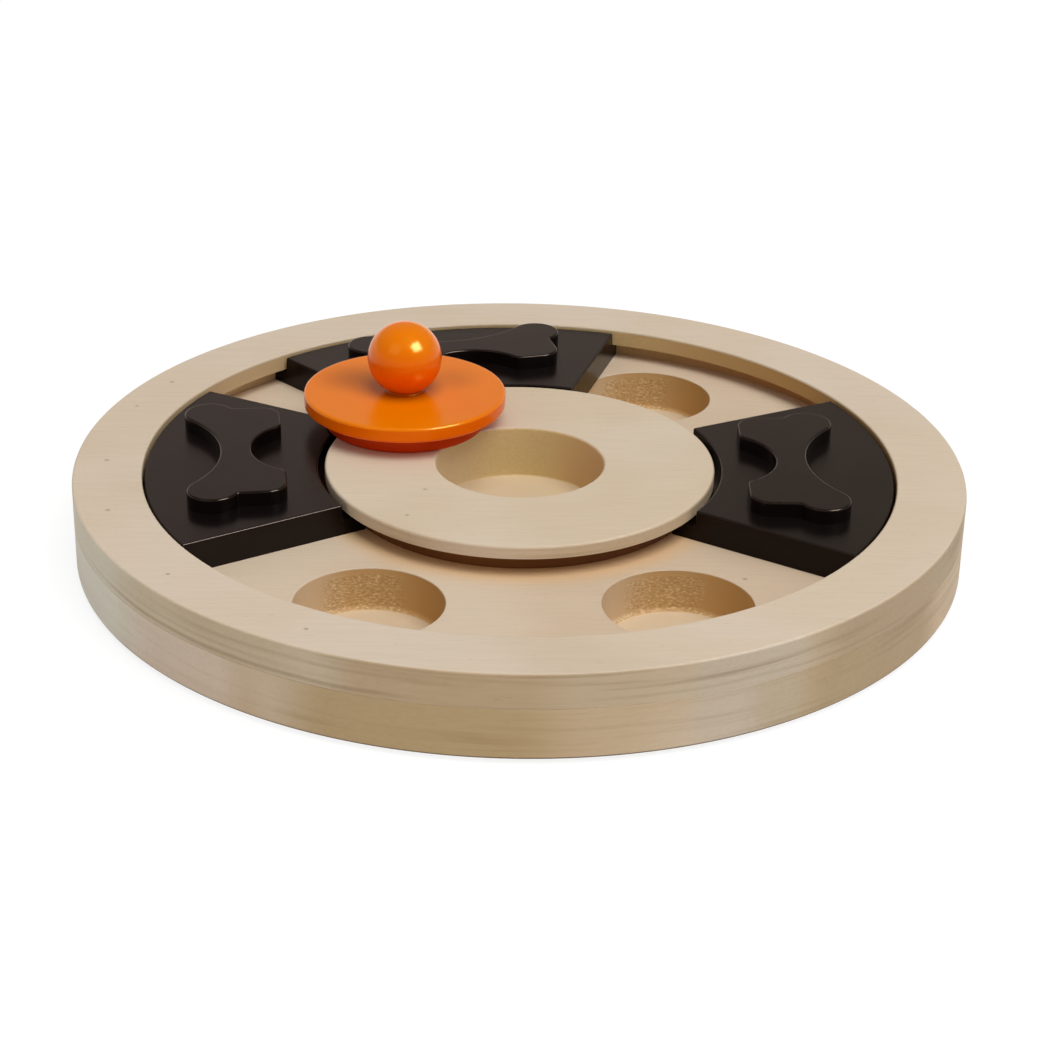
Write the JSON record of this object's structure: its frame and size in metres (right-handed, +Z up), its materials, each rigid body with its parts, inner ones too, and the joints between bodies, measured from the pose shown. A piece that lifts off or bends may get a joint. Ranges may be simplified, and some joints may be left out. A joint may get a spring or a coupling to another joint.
{
  "type": "dog puzzle feeder toy",
  "caption": "Round wooden puzzle feeder for dogs: treat pockets under dark bone-handled sliders in a ring track, and a centre well with an orange ball-knob lid lying beside it.",
  "frame": {"origin": "on the board's vertical axis, in the plane of the underside of the rubber feet", "axes": "+Z up along the board's axis, +X from the centre through the middle of the right-hand pocket, +Y away from a viewer who faces the open front pockets"},
  "size_m": [0.245, 0.245, 0.0539],
  "materials": {
    "pale_wood": "bare sanded pale hardwood, matt",
    "dark_lacquer": "wood under a glossy dark brown lacquer",
    "orange_lacquer": "wood under a glossy orange lacquer",
    "plated_steel": "zinc-plated, dull",
    "foot_rubber": "matt grey"
  },
  "bodies": {
    "board": {"base_board": "pale_wood", "rim_ring": "pale_wood", "hub_disc": "pale_wood", "centre_plate": "pale_wood", "centre_screws": "plated_steel", "rubber_feet": "foot_rubber"},
    "slider_right": {"slider_right_body": "dark_lacquer", "slider_right_grip": "dark_lacquer", "slider_right_screws": "plated_steel"},
    "slider_back": {"slider_back_body": "dark_lacquer", "slider_back_grip": "dark_lacquer", "slider_back_screws": "plated_steel"},
    "slider_left": {"slider_left_body": "dark_lacquer", "slider_left_grip": "dark_lacquer", "slider_left_screws": "plated_steel"},
    "lid": {"lid_plug": "orange_lacquer", "lid_disc": "orange_lacquer", "lid_ball_knob": "orange_lacquer", "lid_knob_screw": "plated_steel"}
  },
  "joints": [
    {"name": "slider_right_turn", "type": "hinge", "parent": "board", "child": "slider_right", "pos_m": [0, 0, 0.0148], "axis": [0, 0, 1], "range_deg": [-57.3, 18]},
    {"name": "slider_back_turn", "type": "hinge", "parent": "board", "child": "slider_back", "pos_m": [0, 0, 0.0148], "axis": [0, 0, 1], "range_deg": [-28, 9.2]},
    {"name": "slider_left_turn", "type": "hinge", "parent": "board", "child": "slider_left", "pos_m": [0, 0, 0.0148], "axis": [0, 0, 1], "range_deg": [-9.2, 57.3]},
    {"name": "lid_lift", "type": "slide", "parent": "board", "child": "lid", "axis": [0, 0, 1], "range_m": [0, 0.06]}
  ]
}
